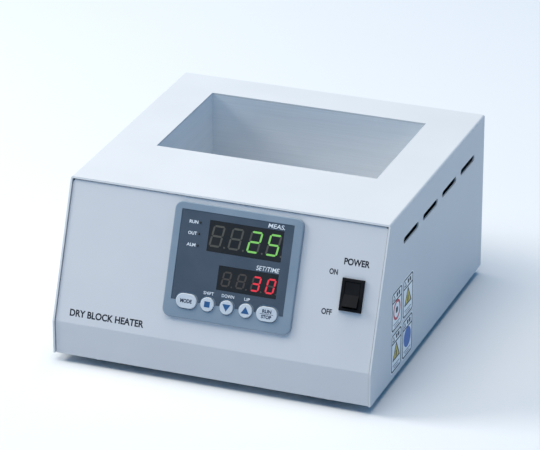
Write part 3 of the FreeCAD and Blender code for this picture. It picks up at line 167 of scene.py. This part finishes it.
# ---------- Print on the sloping panel ----------
# Screen print in dark ink: the kind of instrument at the lower left, and the words round the power
# switch. It is laid out flat, x from the casing's left side and v up the slope, and then set on it.
joint_of = {joint["name"]: joint for joint in frame["joints"]}
outward = -Vector(joint_of["mode_key_press"]["axis"]).normalized()
upslope = Vector((0, outward.z, -outward.y))
rocker_pivot = Vector(joint_of["power_rocker_tip"]["pos_m"])
pivot_over_panel = 0.5 * mm
skirt_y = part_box("front_panel")[0][1]
panel_point = rocker_pivot - outward * pivot_over_panel
bend_point = panel_point - upslope * ((panel_point.y - skirt_y) / upslope.y)
on_slope = Matrix(((1, 0, 0, cover_low[0]), (0, upslope.y, outward.y, bend_point.y),
                   (0, upslope.z, outward.z, bend_point.z), (0, 0, 0, 1)))
ink = surface("dark_ink", (0.012, 0.014, 0.020), (0.018, 0.020, 0.028), spots=2 * mm, rough=(0.5, 0.6),
              gloss=0.2)
print_lift = 0.01 * mm
print_thickness = 0.02 * mm
capital_share = 0.69


def add_mesh(name, mesh, material, body, place):
    """Sets a mesh that is laid out flat in its place and links it as a piece that rides on a body."""
    mesh.name = name
    mesh.transform(place)
    mesh.materials.clear()
    mesh.materials.append(material)
    piece = bpy.data.objects.new(name, mesh)
    bpy.context.scene.collection.objects.link(piece)
    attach(piece, body)


def lettering(name, words, height, wide, spot, bold, material, body, face=0.0, slant=0.0):
    """Words on the slope as a closed thin mesh: height is a capital's, wide the whole width, and spot
    the middle of their foot. Each stroke is fattened by bold on both sides, face is how far the face
    that carries them stands over the panel, and slant leans them by that share of their height.
    Capitals are capital_share of the font's size."""
    curve = bpy.data.curves.new(name, "FONT")
    curve.body = words
    curve.size = height / capital_share
    curve.offset = bold
    curve.shear = slant
    curve.extrude = print_thickness / 2
    curve.resolution_u = 6
    holder = bpy.data.objects.new(name + "_text", curve)
    bpy.context.scene.collection.objects.link(holder)
    bpy.context.view_layer.update()
    mesh = bpy.data.meshes.new_from_object(holder.evaluated_get(bpy.context.evaluated_depsgraph_get()))
    bpy.data.objects.remove(holder)
    bpy.data.curves.remove(curve)
    points = np.empty(len(mesh.vertices) * 3)
    mesh.vertices.foreach_get("co", points)
    left, right = points[0::3].min(), points[0::3].max()
    centred = Matrix.Translation((-(left + right) / 2, 0, 0))
    squeezed = Matrix.Diagonal((wide / (right - left), 1, 1, 1))
    settled = Matrix.Translation((spot[0], spot[1], face + print_lift + print_thickness / 2))
    mesh.transform(settled @ squeezed @ centred)
    add_mesh(name, mesh, material, body, on_slope)


for name, words, height, wide, x, v, bold in (
        ("panel_title", "DRY BLOCK HEATER", 4.3, 52.0, 37.0, 5.0, 0.18),
        ("power_word", "POWER", 4.0, 17.2, 201.0, 66.4, 0.18),
        ("on_word", "ON", 3.4, 5.7, 186.3, 59.0, 0.14),
        ("off_word", "OFF", 3.5, 7.0, 185.1, 33.1, 0.14)):
    lettering(name, words, height * mm, wide * mm, (x * mm, v * mm), bold * mm, ink, "casing")

# ---------- Controller ----------
# A blue-grey moulded bezel with a dark printed film let into it, and a smoked lens over each row of
# digits. The white words and the names of the keys are printed on the film.
bezel_plastic = surface("bezel_plastic", (0.195, 0.255, 0.315), (0.225, 0.285, 0.345), spots=20 * mm,
                        rough=(0.42, 0.52), relief=0.02 * mm, relief_size=0.5 * mm)
film = surface("overlay_film", (0.052, 0.072, 0.098), (0.064, 0.084, 0.112), spots=15 * mm,
               rough=(0.42, 0.52), relief=0.01 * mm, relief_size=0.4 * mm, gloss=0.4)
lens = surface("smoked_lens", (0.022, 0.020, 0.018), (0.028, 0.025, 0.022), spots=10 * mm,
               rough=(0.14, 0.22), gloss=0.35)
white_ink = surface("white_ink", (0.72, 0.76, 0.80), (0.82, 0.85, 0.88), spots=2 * mm, rough=(0.45, 0.6))
dress(["controller_bezel"], bezel_plastic)
dress(["controller_overlay"], film)
dress(["upper_window", "lower_window"], lens)
film_face = 1.8 * mm
for name, words, height, wide, x, v, bold, slant in (
        ("meas_word", "MEAS.", 2.7, 11.5, 145.2, 82.0, 0.02, 0.15),
        ("set_time_word", "SET/TIME", 2.9, 15.8, 143.0, 54.0, 0.02, 0.15),
        ("lamp_word_run", "RUN", 2.0, 6.0, 89.0, 77.3, 0.05, 0.0),
        ("lamp_word_out", "OUT", 2.0, 6.0, 89.0, 70.0, 0.05, 0.0),
        ("lamp_word_alm", "ALM", 2.0, 6.0, 89.0, 62.5, 0.05, 0.0),
        ("key_word_shift", "SHIFT", 2.0, 7.0, 105.3, 33.2, 0.02, 0.0),
        ("key_word_down", "DOWN", 2.0, 8.4, 118.6, 33.2, 0.02, 0.0),
        ("key_word_up", "UP", 2.0, 3.7, 131.7, 33.2, 0.02, 0.0)):
    lettering(name, words, height * mm, wide * mm, (x * mm, v * mm), bold * mm, white_ink,
              "casing", film_face, slant)

# ---------- Digits ----------
# Seven-segment figures of the two LED modules: each bar is a thin lozenge, leaning like the figures
# of a real module. Green above, red below, and the bars that are off stay faintly visible.
bar_places = {"a": (0, 1, 0), "b": (1, 0.5, 1), "c": (1, -0.5, 1), "d": (0, -1, 0), "e": (-1, -0.5, 1),
              "f": (-1, 0.5, 1), "g": (0, 0, 0)}
bars_lit_for = {"0": "abcdef", "2": "abged", "3": "abgcd", "5": "afgcd", " ": ""}
figure_lean = math.radians(9)
half_width_share = 0.245
bar_gap_share = 0.12
dot_right_share = 0.40
dot_down_share = 0.46
bar_foot = film_face + print_lift
lit_bar_top = film_face + 0.05 * mm
unlit_bar_top = film_face + 0.03 * mm


def glow(name, colour, unlit_share=(0.10, 0.14)):
    """A bar's plastic, lit evenly from inside: its own colour is the two shares of the light's."""
    low, high = (tuple(share * part for part in colour) for share in unlit_share)
    material = surface(name, low, high, spots=4 * mm, rough=(0.4, 0.5))
    shader = material.node_tree.nodes["Principled BSDF"]
    shader.inputs["Emission Color"].default_value = (*colour, 1)
    shader.inputs["Emission Strength"].default_value = 1.0
    return material


def walled(rings, low, high):
    """Vertices and faces of closed flat plates between two heights. A ring is an outline of (x, y)
    points, or a pair of outlines with as many points each, outer and inner, for a plate with a hole."""
    vertices, faces = [], []
    start = 0
    for ring in rings:
        outer, inner = ring if isinstance(ring, tuple) else (ring, None)
        count = len(outer)
        loops = [(outer, low), (outer, high)] + ([] if inner is None else [(inner, low), (inner, high)])
        vertices += [np.column_stack([points, np.full(count, height)]) for points, height in loops]
        step = np.arange(count)
        after = np.roll(step, -1)
        foot, top, hole_foot, hole_top = start + count * np.arange(4)
        faces += np.column_stack([foot + step, foot + after, top + after, top + step]).tolist()
        if inner is None:
            faces += [(top + step).tolist(), (foot + step[::-1]).tolist()]
        else:
            for band in ([hole_foot + after, hole_foot + step, hole_top + step, hole_top + after],
                         [top + step, top + after, hole_top + after, hole_top + step],
                         [foot + after, foot + step, hole_foot + step, hole_foot + after]):
                faces += np.column_stack(band).tolist()
        start += count * len(loops)
    return np.vstack(vertices), faces


def plates(name, rings, low, high, material, body, place):
    """Closed flat plates from low to high over a plane, as one piece."""
    vertices, faces = walled(rings, low, high)
    mesh = bpy.data.meshes.new(name)
    mesh.from_pydata(vertices.tolist(), [], faces)
    add_mesh(name, mesh, material, body, place)


def bar_outline(code, centre, height, thick):
    """One bar's six corners: a lozenge along its side of the figure, then sheared by the lean. Its place
    is a share of half the figure's width, a share of half its height, and 1 for an upright bar."""
    across, along, upright = bar_places[code]
    half_wide = height * half_width_share
    half_tall = height / 2 - thick / 2
    reach = (half_tall / 2 if upright else half_wide) - thick * bar_gap_share
    point = reach - thick / 2
    lozenge = np.array([(reach, 0), (point, thick / 2), (-point, thick / 2), (-reach, 0),
                        (-point, -thick / 2), (point, -thick / 2)])
    if upright:
        lozenge = np.column_stack([-lozenge[:, 1], lozenge[:, 0]])
    spot = lozenge + (across * half_wide, along * half_tall)
    spot[:, 0] += spot[:, 1] * math.tan(figure_lean)
    return spot + centre


def circle(centre, radius, count=24):
    """Points evenly spaced round a circle, anticlockwise."""
    turn = np.linspace(0, 2 * np.pi, count, endpoint=False)
    return np.column_stack([np.cos(turn), np.sin(turn)]) * radius + centre


def display(name, figures, first_x, pitch, v, height, thick, lit, unlit):
    """A row of figures: the lit bars in one piece and the unlit bars and dots in another."""
    bright, dim = [], []
    for index, figure in enumerate(figures):
        centre = np.array([first_x + pitch * index, v])
        for code in bar_places:
            outline = bar_outline(code, centre, height, thick)
            (bright if code in bars_lit_for[figure] else dim).append(outline)
        dot = centre + (height * dot_right_share, -height * dot_down_share)
        dim.append(circle(dot, thick / 2, count=12))
    plates(name + "_lit", bright, bar_foot, lit_bar_top, lit, "casing", on_slope)
    plates(name + "_off", dim, bar_foot, unlit_bar_top, unlit, "casing", on_slope)


green_glow = glow("green_bars", (0.20, 0.54, 0.12))
red_glow = glow("red_bars", (0.74, 0.035, 0.055))
green_off = surface("green_bars_off", (0.080, 0.074, 0.060), (0.095, 0.088, 0.072), spots=4 * mm,
                    rough=(0.4, 0.5), gloss=0.3)
red_off = surface("red_bars_off", (0.062, 0.050, 0.042), (0.074, 0.060, 0.050), spots=4 * mm,
                  rough=(0.4, 0.5), gloss=0.3)
display("upper_figures", "  25", first_x=106.0 * mm, pitch=12.9 * mm, v=71.2 * mm, height=14.2 * mm,
        thick=1.25 * mm, lit=green_glow, unlit=green_off)
display("lower_figures", "  30", first_x=116.0 * mm, pitch=10.1 * mm, v=44.9 * mm, height=10.0 * mm,
        thick=1.15 * mm, lit=red_glow, unlit=red_off)

# ---------- Status lamps ----------
# Three small domes of dark epoxy, soldered on the board behind, that stand up through holes in the
# bezel and the film, one beside each word. None of them is lit.
lamp_x = 93.5 * mm
lamp_rows = (78.2 * mm, 70.9 * mm, 63.4 * mm)
lamp_radius = 0.72 * mm
lamp_foot = film_face - 0.15 * mm
lamp_rise = 0.75 * mm
lamp_epoxy = surface("lamp_epoxy", (0.012, 0.016, 0.016), (0.020, 0.026, 0.026), spots=1 * mm,
                     rough=(0.15, 0.25))


def dome(centre, radius, foot, rise):
    """A closed dome: height is foot plus rise times the square root of one less the squared share of
    the radius, on a grid of turn and share, closed below by a flat disc."""
    around, across = 24, 6
    share = np.sin(np.linspace(np.pi / 2, 0, across))
    turn = np.linspace(0, 2 * np.pi, around, endpoint=False)
    spread, angle = np.meshgrid(share[:-1], turn, indexing="ij")
    height = foot + rise * np.sqrt(1 - spread ** 2)
    grid = np.stack([centre[0] + radius * spread * np.cos(angle), centre[1] + radius * spread * np.sin(angle),
                     height], axis=-1).reshape(-1, 3)
    vertices = np.vstack([grid, [(centre[0], centre[1], foot + rise)]])
    step = np.arange(around)
    after = np.roll(step, -1)
    faces = [step[::-1].tolist()]
    for row in range(across - 2):
        low, high = row * around, (row + 1) * around
        faces += np.column_stack([low + step, low + after, high + after, high + step]).tolist()
    last = (across - 2) * around
    faces += np.column_stack([last + step, last + after, np.full(around, len(grid))]).tolist()
    mesh = bpy.data.meshes.new("status_lamp")
    mesh.from_pydata(vertices.tolist(), [], faces)
    mesh.polygons.foreach_set("use_smooth", np.arange(len(faces)) > 0)
    return mesh


for index, lamp_v in enumerate(lamp_rows):
    lamp = dome((lamp_x, lamp_v), lamp_radius, lamp_foot, lamp_rise)
    add_mesh(f"status_lamp_{index + 1}", lamp, lamp_epoxy, "casing", on_slope)

# ---------- Keys ----------
# Pale moulded caps with printed legends: words on the two oval ones, and a square and two triangles
# on the round ones. Each legend rides on its own key.
key_plastic = surface("key_plastic", (0.51, 0.55, 0.59), (0.55, 0.59, 0.63), spots=10 * mm,
                      rough=(0.38, 0.48), relief=0.01 * mm, relief_size=0.5 * mm)
dress(["key_mode", "key_shift", "key_down", "key_up", "key_run_stop"], key_plastic)
legend_blue = surface("legend_blue", (0.018, 0.082, 0.210), (0.024, 0.100, 0.245), spots=3 * mm,
                      rough=(0.4, 0.5))
navy_ink = surface("navy_ink", (0.012, 0.020, 0.050), (0.018, 0.028, 0.065), spots=3 * mm, rough=(0.4, 0.5),
                   gloss=0.3)
key_face = 3.0 * mm
key_row = 27.0 * mm


def key_middle(key):
    """The x of a key's middle, from the casing's left side."""
    low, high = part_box(key)
    return (low[0] + high[0]) / 2 - cover_low[0]


def legend(name, points, key, body, material):
    """A printed shape on a key's face, from points in millimetres about its middle."""
    outline = np.array(points) * mm + (key_middle(key), key_row)
    plates(name, [outline], key_face + print_lift, key_face + print_lift + print_thickness, material,
           body, on_slope)


legend("shift_square", [(-1.9, -1.9), (1.9, -1.9), (1.9, 1.9), (-1.9, 1.9)], "key_shift", "shift_key",
       legend_blue)
legend("down_triangle", [(0, -2.6), (2.8, 2.0), (-2.8, 2.0)], "key_down", "down_key", legend_blue)
legend("up_triangle", [(-2.8, -2.0), (2.8, -2.0), (0, 2.6)], "key_up", "up_key", legend_blue)
for name, words, key, body, height, wide, over_row, bold in (
        ("mode_word", "MODE", "key_mode", "mode_key", 2.3, 8.0, -1.1, 0.13),
        ("run_word", "RUN", "key_run_stop", "run_stop_key", 2.1, 6.2, 0.75, 0.12),
        ("stop_word", "STOP", "key_run_stop", "run_stop_key", 2.1, 6.9, -2.85, 0.12)):
    lettering(name, words, height * mm, wide * mm, (key_middle(key), key_row + over_row * mm), bold * mm,
              navy_ink, body, key_face)
legend("run_stop_line", [(-4.6, -0.15), (4.6, -0.15), (4.6, 0.15), (-4.6, 0.15)], "key_run_stop",
       "run_stop_key", navy_ink)

# ---------- Power switch ----------
# Black nylon with a fine spark-eroded face: a bezel that snaps into the panel round a chamber with the
# contacts, and the rocker that tips in it on two stubs.
nylon = surface("black_nylon", (0.006, 0.006, 0.007), (0.010, 0.010, 0.011), spots=10 * mm,
                rough=(0.60, 0.70), relief=0.02 * mm, relief_size=0.4 * mm, gloss=0.10)
dress(["switch_body", "switch_rocker"], nylon)

# ---------- Well ----------
# The liner is satin stainless sheet with its grain running round the walls, and the floor is the
# milled top of the heater plate.
stainless = surface("well_stainless", (0.80, 0.83, 0.85), (0.86, 0.89, 0.91), spots=6 * mm,
                    rough=(0.30, 0.38), metallic=0.4, relief=0.002 * mm, relief_size=3 * mm,
                    stretch=(0.12, 0.12, 10))
dress(["well_liner"], stainless)
plate_metal = surface("plate_aluminium", (0.36, 0.37, 0.39), (0.46, 0.47, 0.49), spots=8 * mm,
                      rough=(0.48, 0.58), metallic=0.8, relief=0.004 * mm, relief_size=4 * mm,
                      stretch=(0.15, 10, 1))
dress(["heater_plate"], plate_metal)

# ---------- Stickers on the right side ----------
# Four white vinyl stickers, each with a black frame, a header, plain marks in one colour, and short
# grey bars where small print would be. They are laid out flat, y along the side and z up.
vinyl = surface("label_vinyl", (0.82, 0.83, 0.83), (0.88, 0.89, 0.89), spots=10 * mm, rough=(0.35, 0.45))
sticker_inks = {
    "frame": surface("frame_ink", (0.015, 0.017, 0.022), (0.024, 0.027, 0.034), spots=3 * mm,
                     rough=(0.45, 0.55), gloss=0.3),
    "bars": surface("grey_bar_ink", (0.20, 0.21, 0.23), (0.26, 0.27, 0.29), spots=3 * mm,
                    rough=(0.45, 0.55)),
    "red": surface("red_mark_ink", (0.50, 0.030, 0.050), (0.58, 0.045, 0.065), spots=3 * mm,
                   rough=(0.4, 0.5)),
    "yellow": surface("yellow_mark_ink", (0.62, 0.48, 0.060), (0.70, 0.55, 0.080), spots=3 * mm,
                      rough=(0.4, 0.5)),
    "blue": surface("blue_mark_ink", (0.030, 0.130, 0.420), (0.040, 0.160, 0.480), spots=3 * mm,
                    rough=(0.4, 0.5))}
dress(["safety_labels"], vinyl)
stickers_low, stickers_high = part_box("safety_labels")
on_side = Matrix(((0, 0, 1, stickers_high[0]), (1, 0, 0, 0), (0, 1, 0, 0), (0, 0, 0, 1)))
sticker_wide = 20 * mm
sticker_tall = 28 * mm
frame_edge = 0.5 * mm
frame_line = 1.0 * mm
frame_corner = 2.2 * mm
frame_inner_corner = 1.5 * mm
header_line_up = 6.8 * mm
header_triangle_spot = (-5.3 * mm, 9.4 * mm)
header_triangle_reach = 2.6 * mm
header_triangle_line = 1.2 * mm
header_blocks_y = (0.5 * mm, 4.4 * mm)
header_blocks_up = 10.0 * mm
mark_down = 0.6 * mm
disc_radius = 7.0 * mm
ring_line = 1.8 * mm
ring_block = 4.0 * mm
triangle_down = 1.2 * mm
yellow_reach = 5.6 * mm
triangle_reach = 8.2 * mm
triangle_line = 2.2 * mm
stroke_down = 1.6 * mm
small_print = ((9.4 * mm, 13.0 * mm), (11.2 * mm, 9.0 * mm))
small_print_tall = 0.7 * mm


def rounded(centre, wide, tall, radius, steps=5):
    """A rectangle with round corners: each corner's quarter turn about its own centre."""
    quarter = np.linspace(0, np.pi / 2, steps)
    turn = np.concatenate([quarter + start * np.pi / 2 for start in range(4)])
    corner_x = np.repeat([1, -1, -1, 1], steps) * (wide / 2 - radius)
    corner_y = np.repeat([1, 1, -1, -1], steps) * (tall / 2 - radius)
    return np.column_stack([corner_x + radius * np.cos(turn), corner_y + radius * np.sin(turn)]) + centre


def triangle(centre, reach):
    """An upright triangle with equal sides whose corners lie reach from its centre."""
    turn = np.pi / 2 + np.arange(3) * 2 * np.pi / 3
    return np.column_stack([np.cos(turn), np.sin(turn)]) * reach + centre


def outlined(outline_of, centre, size, line):
    """A line round a shape: the shape at its size, and again smaller by line inside it."""
    return (outline_of(centre, size), outline_of(centre, size - line))


printed = {part: [] for part in sticker_inks}
marks = {(0, 1): "red", (1, 1): "yellow", (0, 0): "yellow", (1, 0): "blue"}
for (column, row), colour in marks.items():
    middle = np.array([stickers_high[1] - sticker_wide / 2 if column else stickers_low[1] + sticker_wide / 2,
                       stickers_high[2] - sticker_tall / 2 if row else stickers_low[2] + sticker_tall / 2])
    frame_wide = sticker_wide - 2 * frame_edge
    frame_tall = sticker_tall - 2 * frame_edge
    black = printed["frame"]
    black.append((rounded(middle, frame_wide, frame_tall, frame_corner),
                  rounded(middle, frame_wide - 2 * frame_line, frame_tall - 2 * frame_line,
                          frame_inner_corner)))
    black.append(rounded(middle + (0, header_line_up), frame_wide - frame_edge, frame_line, 0.1 * mm, 2))
    black.append(outlined(triangle, middle + header_triangle_spot, header_triangle_reach,
                          header_triangle_line))
    for y in header_blocks_y:
        black.append(rounded(middle + (y, header_blocks_up), 2.8 * mm, 3.0 * mm, 0.3 * mm, 3))
    mark = middle - (0, mark_down)
    if colour == "red":
        printed["red"].append(outlined(circle, mark, disc_radius, ring_line))
        black.append(rounded(mark, ring_block, ring_block, 1.2 * mm, 4))
    if colour == "yellow":
        lowered = mark - (0, triangle_down)
        printed["yellow"].append(triangle(lowered, yellow_reach))
        black.append(outlined(triangle, lowered, triangle_reach, triangle_line))
        black.append(rounded(mark - (0, stroke_down), 1.8 * mm, 4.4 * mm, 0.6 * mm, 4))
    if colour == "blue":
        printed["blue"].append(circle(mark, disc_radius))
    for down, wide in small_print:
        printed["bars"].append(rounded(middle - (0, down), wide, small_print_tall, 0.2 * mm, 3))
for part, rings in printed.items():
    plates("sticker_" + part, rings, print_lift, print_lift + print_thickness, sticker_inks[part],
           "casing", on_side)

# ---------- Feet ----------
# Four tapered feet of moulded black rubber under the corners of the base, each held by one screw
# whose head is sunk in it.
rubber = surface("black_rubber", (0.012, 0.012, 0.013), (0.022, 0.022, 0.024), spots=4 * mm,
                 rough=(0.75, 0.9), relief=0.03 * mm, relief_size=0.8 * mm, gloss=0.3)
dress(["foot_front_left", "foot_front_right", "foot_rear_left", "foot_rear_right"], rubber)

# ---------- Plated steel ----------
# The floor of the casing, the tray and clamp plate of the heater, and the posts, clips and screws are
# all zinc plated steel. The sensor's metal sheath and the switch's plunger look the same.
zinc = surface("zinc_plate", (0.50, 0.51, 0.52), (0.62, 0.62, 0.62), spots=8 * mm, rough=(0.28, 0.42),
               metallic=1.0)
dress(["base_plate", "cover_screws", "rear_panel_screws", "foot_screws", "heater_clamp_plate", "clamp_screws",
       "plate_standoffs", "standoff_screws", "insulation_tray", "cutout_screws", "board_screws",
       "controller_brackets", "bracket_screws", "switch_plunger", "inlet_screws", "relay_screws",
       "temperature_sensor"], zinc)

# ---------- Black mouldings ----------
# The appliance inlet on the rear panel with its fuse drawer, the controller's case and terminals, and
# the bodies of the relay, the thermal cut-out and the two LED modules, in black plastic with a grain.
moulding = surface("black_moulding", (0.012, 0.012, 0.014), (0.020, 0.020, 0.022), spots=20 * mm,
                   rough=(0.45, 0.55), relief=0.02 * mm, relief_size=0.6 * mm, gloss=0.4)
dress(["thermal_cutout", "controller_case", "controller_terminal", "inlet_body", "fuse_drawer",
       "solid_state_relay", "upper_digits", "lower_digits"], moulding)

# ---------- Contacts, fuse and leads ----------
# Plated brass pins, blades and earth screw, a glass fuse in the drawer, and leads in woven sleeving
# between the inlet and the switch, the heater and the relay, and the sensor and the controller.
brass = surface("plated_brass", (0.60, 0.52, 0.30), (0.72, 0.62, 0.36), spots=4 * mm, rough=(0.22, 0.35),
                metallic=1.0)
dress(["switch_lever", "switch_terminals", "inlet_pins", "earth_stud"], brass)
glass = surface("fuse_glass", (0.60, 0.64, 0.64), (0.70, 0.74, 0.74), spots=4 * mm, rough=(0.05, 0.1))
dress(["fuse"], glass)
sleeve = surface("woven_sleeve", (0.50, 0.46, 0.38), (0.64, 0.60, 0.52), spots=1 * mm, rough=(0.7, 0.85),
                 relief=0.1 * mm, relief_size=0.6 * mm)
dress(["mains_leads", "heater_leads", "sensor_lead"], sleeve)

# ---------- Heater and insulation ----------
# A flat element of mica sheet, clamped up against the plate, and slabs of dark mineral wool round the
# well and under it.
mica = surface("mica_sheet", (0.30, 0.24, 0.15), (0.46, 0.39, 0.28), spots=10 * mm, rough=(0.35, 0.5))
dress(["plate_heater"], mica)
wool = surface("mineral_wool", (0.030, 0.027, 0.022), (0.060, 0.054, 0.044), spots=3 * mm,
               rough=(0.9, 1.0), relief=0.3 * mm, relief_size=1.5 * mm, gloss=0.1)
dress(["insulation_walls", "insulation_bottom"], wool)

# ---------- Boards and key mat ----------
# Two boards of green glass laminate in the controller, and a grey silicone mat with a dome under each
# key, lying on the front board.
laminate = surface("green_laminate", (0.010, 0.075, 0.035), (0.016, 0.100, 0.048), spots=10 * mm,
                   rough=(0.35, 0.45))
dress(["display_board", "power_board"], laminate)
silicone = surface("grey_silicone", (0.28, 0.29, 0.30), (0.34, 0.35, 0.36), spots=5 * mm, rough=(0.6, 0.7))
dress(["key_mat"], silicone)
